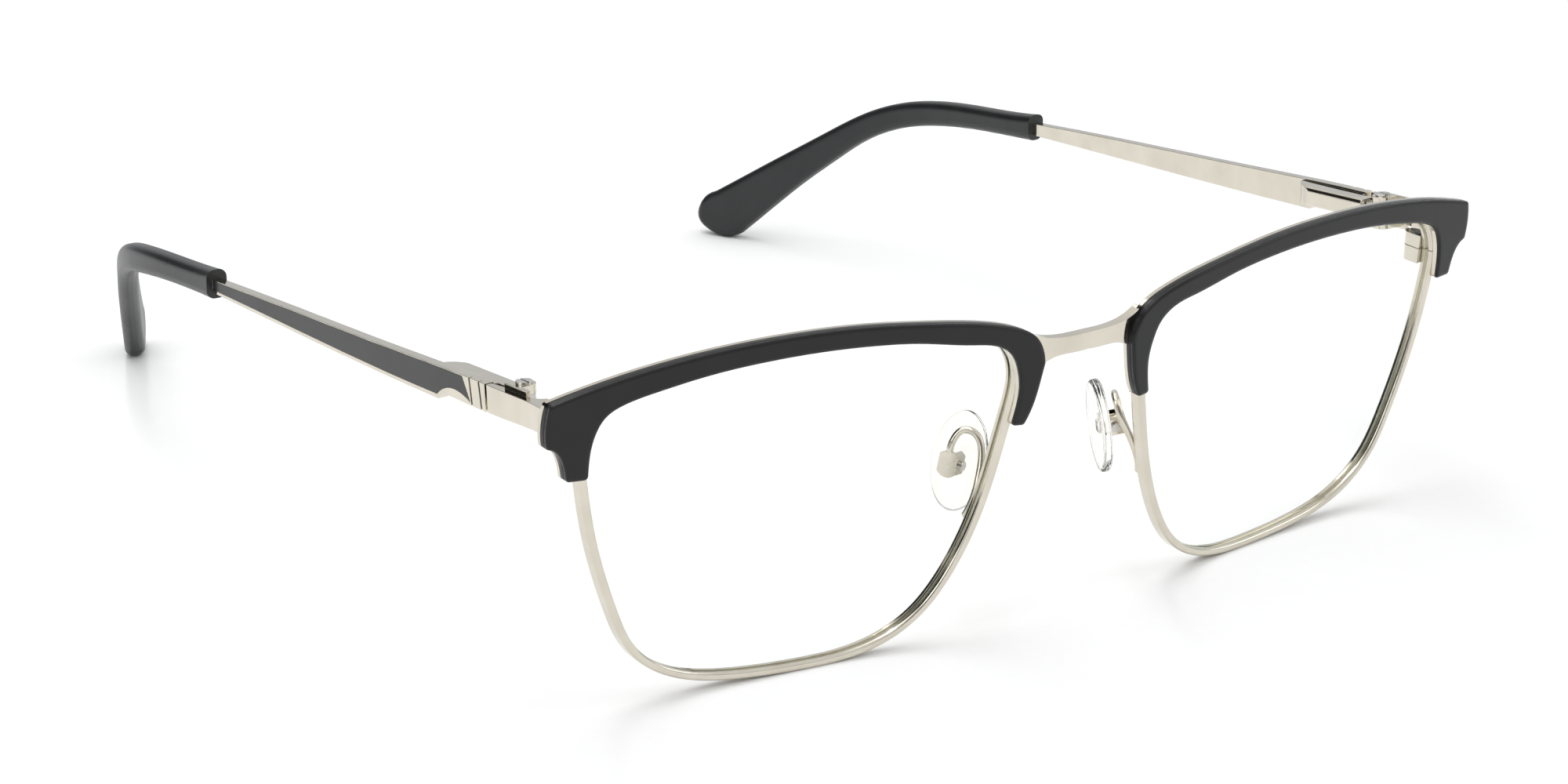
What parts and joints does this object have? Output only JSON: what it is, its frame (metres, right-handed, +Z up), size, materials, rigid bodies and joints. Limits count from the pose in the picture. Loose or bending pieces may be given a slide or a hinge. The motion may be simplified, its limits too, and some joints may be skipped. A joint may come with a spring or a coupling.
{
  "type": "half rim eyeglasses",
  "caption": "Metal eyeglasses with dark brow plates over the upper half of each eyewire, spring-hinged folding temples with black sleeves, and rocking clear nose pads.",
  "frame": {"origin": "on the table the glasses stand on, under the middle of the footprint, in the plane of symmetry", "axes": "+Z up, +Y from the front back along the temples, +X to the wearer's left"},
  "size_m": [0.1384, 0.1516, 0.043],
  "materials": {
    "polished_metal": "polished warm silver plating on nickel alloy",
    "screw_steel": "satin",
    "black_plate": "semi-gloss black lacquer with rounded edges",
    "black_inlay": "semi-gloss dark lacquer",
    "tip_plastic": "matte black acetate",
    "lens": "clear, hard-coated plastic lens",
    "clear_silicone": "clear silicone"
  },
  "bodies": {
    "front": {"bridge": "polished_metal", "rim_left": "polished_metal", "lens_left": "lens", "brow_backing_left": "polished_metal", "brow_plate_left": "black_plate", "endpiece_left": "polished_metal", "closing_block_upper_left": "polished_metal", "closing_block_lower_left": "polished_metal", "block_screw_left": "screw_steel", "front_leaf_left": "polished_metal", "hinge_screw_left": "screw_steel", "pad_arm_left": "polished_metal", "pad_box_left": "polished_metal", "pad_screw_left": "screw_steel", "rim_right": "polished_metal", "lens_right": "lens", "brow_backing_right": "polished_metal", "brow_plate_right": "black_plate", "endpiece_right": "polished_metal", "closing_block_upper_right": "polished_metal", "closing_block_lower_right": "polished_metal", "block_screw_right": "screw_steel", "front_leaf_right": "polished_metal", "hinge_screw_right": "screw_steel", "pad_arm_right": "polished_metal", "pad_box_right": "polished_metal", "pad_screw_right": "screw_steel"},
    "slug_left": {"hinge_slug_left": "screw_steel", "slug_nut_left": "screw_steel", "hinge_spring_left": "screw_steel"},
    "temple_arm_left": {"temple_left": "polished_metal", "temple_inlay_left": "black_inlay", "temple_tip_left": "tip_plastic", "hinge_housing_left": "polished_metal", "hinge_bush_left": "polished_metal"},
    "pad_left": {"nose_pad_left": "clear_silicone"},
    "slug_right": {"hinge_slug_right": "screw_steel", "slug_nut_right": "screw_steel", "hinge_spring_right": "screw_steel"},
    "temple_arm_right": {"temple_right": "polished_metal", "temple_inlay_right": "black_inlay", "temple_tip_right": "tip_plastic", "hinge_housing_right": "polished_metal", "hinge_bush_right": "polished_metal"},
    "pad_right": {"nose_pad_right": "clear_silicone"}
  },
  "joints": [
    {"name": "temple_fold_left", "type": "hinge", "parent": "front", "child": "slug_left", "pos_m": [0.065, -0.0566, 0.0356], "axis": [0, 0.0872, 0.9962], "range_deg": [-8, 84]},
    {"name": "temple_spring_left", "type": "slide", "parent": "slug_left", "child": "temple_arm_left", "axis": [0, 0.9962, -0.0872], "range_m": [0, 0.001], "stiffness_N_per_m": 500, "springref_m": -0.002, "deforming": ["hinge_spring_left"]},
    {"name": "pad_rock_left", "type": "hinge", "parent": "front", "child": "pad_left", "pos_m": [0.01229, -0.06618, 0.02027], "axis": [-0.3705, -0.9226, -0.107], "range_deg": [-8, 8]},
    {"name": "temple_fold_right", "type": "hinge", "parent": "front", "child": "slug_right", "pos_m": [-0.065, -0.0566, 0.0356], "axis": [0, -0.0872, -0.9962], "range_deg": [-8, 68]},
    {"name": "temple_spring_right", "type": "slide", "parent": "slug_right", "child": "temple_arm_right", "axis": [0, 0.9962, -0.0872], "range_m": [0, 0.001], "stiffness_N_per_m": 500, "springref_m": -0.002, "deforming": ["hinge_spring_right"]},
    {"name": "pad_rock_right", "type": "hinge", "parent": "front", "child": "pad_right", "pos_m": [-0.01229, -0.06618, 0.02027], "axis": [0.3705, -0.9226, -0.107], "range_deg": [-8, 8]}
  ]
}
